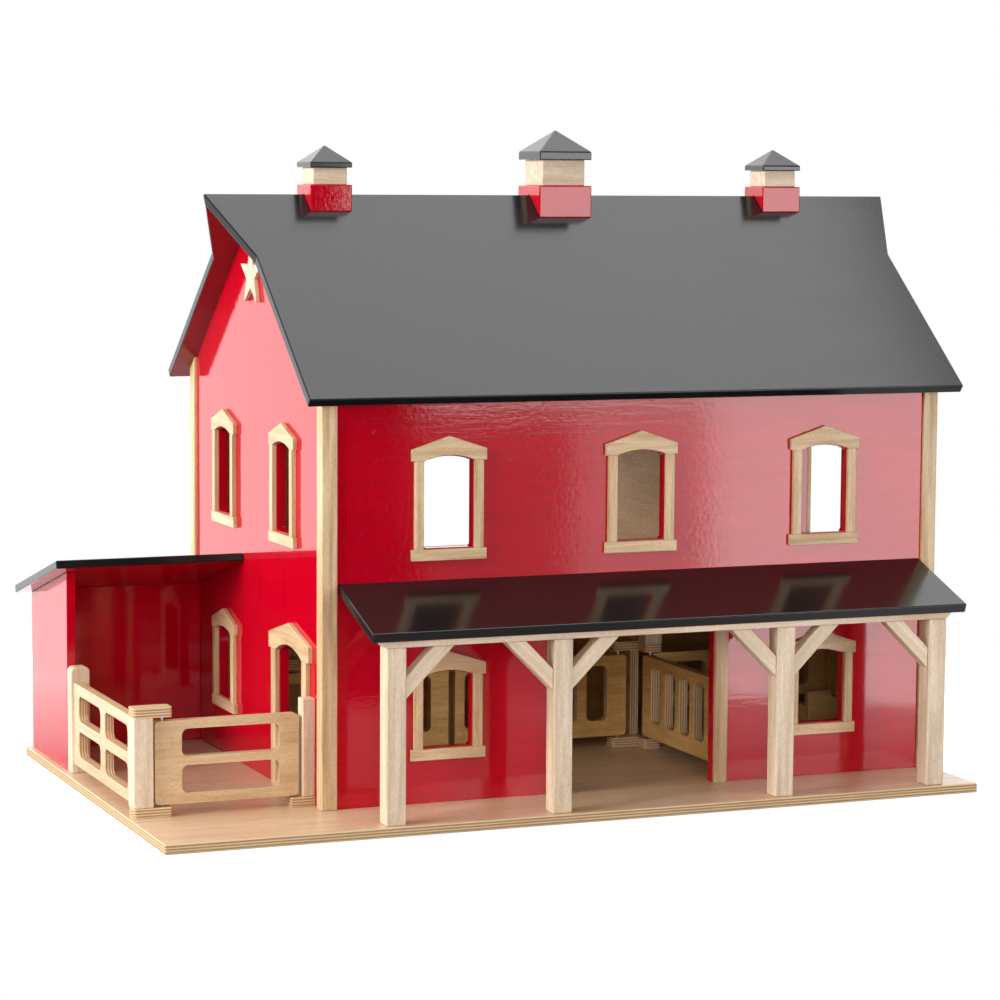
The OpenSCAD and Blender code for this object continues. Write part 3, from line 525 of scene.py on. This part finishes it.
# Camera, light and background
def camera():
    """The photograph's viewpoint. Its focal length is counted in pixels of the square picture."""
    focal, picture, sensor = 3144.623, 1000.0, 36.0
    az, pitch, roll = (math.radians(a) for a in (22.1494, 5.8882, 0.3597))
    forward = Vector((math.sin(az) * math.cos(pitch), math.cos(az) * math.cos(pitch), -math.sin(pitch)))
    right = Vector((math.cos(az), -math.sin(az), 0))
    up = right.cross(forward)
    r = right * math.cos(roll) + up * math.sin(roll)
    u = up * math.cos(roll) - right * math.sin(roll)
    data = bpy.data.cameras.new("camera")
    data.sensor_width = sensor
    data.lens = focal * sensor / picture
    obj = bpy.data.objects.new("camera", data)
    place = Vector((-0.909311, -2.65733, 0.573904)) - ORIGIN
    back = -forward
    obj.matrix_world = Matrix(((r.x, u.x, back.x, place.x), (r.y, u.y, back.y, place.y),
                               (r.z, u.z, back.z, place.z), (0, 0, 0, 1)))
    bpy.context.scene.collection.objects.link(obj)
    bpy.context.scene.camera = obj


def panel(name, place, target, size, radiance, mirrored=True):
    """Rectangular soft light of an even radiance. mirrored says whether reflections show it."""
    data = bpy.data.lights.new(name, "AREA")
    data.shape = "RECTANGLE"
    data.size, data.size_y = size
    data.energy = radiance * math.pi * size[0] * size[1]
    obj = bpy.data.objects.new(name, data)
    obj.location = place
    obj.rotation_euler = (Vector(target) - Vector(place)).to_track_quat("-Z", "Y").to_euler()
    obj.visible_glossy = mirrored
    bpy.context.scene.collection.objects.link(obj)


def surroundings():
    """White for the camera. For light and reflections: bright behind, some from above and below."""
    scene = bpy.context.scene
    world = bpy.data.worlds.new("world")
    world.use_nodes = True
    tree = world.node_tree
    tree.nodes.clear()
    way = add(tree, "ShaderNodeTexCoord").outputs["Generated"]
    parts = add(tree, "ShaderNodeSeparateXYZ", {0: way}).outputs
    behind = add(tree, "ShaderNodeMapRange", {0: parts[1], 1: -0.1, 2: 0.6, 3: 0.01, 4: 1.7}).outputs[0]
    below = add(tree, "ShaderNodeMapRange", {0: parts[2], 1: -0.35, 2: -0.8, 3: 0.0, 4: 0.35}).outputs[0]
    above = add(tree, "ShaderNodeMapRange", {0: parts[2], 1: 0.3, 2: 0.9, 3: 0.0, 4: 0.7}).outputs[0]
    level = maths(tree, "MAXIMUM", behind, maths(tree, "MAXIMUM", below, above))
    soft = add(tree, "ShaderNodeBackground", {"Color": (1, 1, 1, 1), "Strength": level})
    white = add(tree, "ShaderNodeBackground", {"Color": (1, 1, 1, 1), "Strength": 1.0})
    seen = add(tree, "ShaderNodeLightPath").outputs["Is Camera Ray"]
    both = add(tree, "ShaderNodeMixShader", {0: seen, 1: soft.outputs[0], 2: white.outputs[0]})
    out = add(tree, "ShaderNodeOutputWorld")
    tree.links.new(both.outputs[0], out.inputs["Surface"])
    scene.world = world
    scene.view_settings.view_transform = "Standard"
    panel("key", (-2.9, -0.45, 1.2), (0, 0, 0.25), (1.6, 1.6), 15.5, False)
    panel("fill", (-1.1, -2.7, 0.8), (0, 0, 0.25), (1.2, 1.2), 5.2)
    panel("side low left", (0.86, -2.47, -0.2), (0.86, 0, -0.2), (0.28, 0.8), 0.5)
    panel("side low right", (1.13, -2.47, -0.2), (1.13, 0, -0.2), (0.26, 0.8), 2.2)
    panel("side high", (0.99, -2.47, 0.55), (0.99, 0, 0.55), (0.54, 0.7), 6.0)
    panel("side far", (1.76, -2.47, 0.15), (1.76, 0, 0.15), (1.0, 1.5), 6.2)
    panel("top", (0.75, 0.3, 2.6), (0, 0, 0.4), (1.6, 1.4), 2.15)


def floor():
    """White table top that keeps a soft shadow. In reflections it is brighter at the right and the back."""
    radius, below_toy = 0.85, 0.0004
    bm = bmesh.new()
    bmesh.ops.create_circle(bm, cap_ends=True, segments=96, radius=radius)
    mesh = bpy.data.meshes.new("floor")
    bm.to_mesh(mesh)
    bm.free()
    mat, tree = new_material("floor")
    place = add(tree, "ShaderNodeTexCoord").outputs["Object"]
    fine = noise(tree, place, 40.0, 3.0)
    tone = ramp(tree, fine, [(0.3, grey(0.80)), (0.7, grey(0.83))])
    matt = add(tree, "ShaderNodeBsdfDiffuse", {"Color": tone})
    dim = add(tree, "ShaderNodeBsdfDiffuse", {"Color": (0.36, 0.36, 0.36, 1)})
    x, y, _ = add(tree, "ShaderNodeSeparateXYZ", {0: place}).outputs
    right = add(tree, "ShaderNodeMapRange", {0: x, 1: 0.1, 2: 0.6, 3: 0.0, 4: 1.6}).outputs[0]
    front = add(tree, "ShaderNodeMapRange", {0: y, 1: -0.25, 2: -0.5, 3: 0.0, 4: 1.0}).outputs[0]
    back = add(tree, "ShaderNodeMapRange", {0: y, 1: 0.1, 2: 0.8, 3: 0.2, 4: 1.6}).outputs[0]
    path = add(tree, "ShaderNodeLightPath").outputs
    mirrored = maths(tree, "ADD", maths(tree, "MULTIPLY", right, front), back)
    mirrored = maths(tree, "MULTIPLY", mirrored, path["Is Glossy Ray"])
    sheen = add(tree, "ShaderNodeEmission", {"Color": (1, 1, 1, 1), "Strength": mirrored})
    dim = add(tree, "ShaderNodeAddShader", {0: dim.outputs[0], 1: sheen.outputs[0]})
    glow = add(tree, "ShaderNodeEmission", {"Color": (1, 1, 1, 1), "Strength": 0.62})
    lifted = add(tree, "ShaderNodeAddShader", {0: matt.outputs[0], 1: glow.outputs[0]})
    both = add(tree, "ShaderNodeMixShader", {0: path["Is Camera Ray"], 1: dim.outputs[0],
                                             2: lifted.outputs[0]})
    out = add(tree, "ShaderNodeOutputMaterial")
    tree.links.new(both.outputs[0], out.inputs["Surface"])
    mesh.materials.append(mat)
    obj = bpy.data.objects.new("floor", mesh)
    obj.location = (0.0, 0.1, -below_toy)
    bpy.context.scene.collection.objects.link(obj)


camera()
surroundings()
floor()
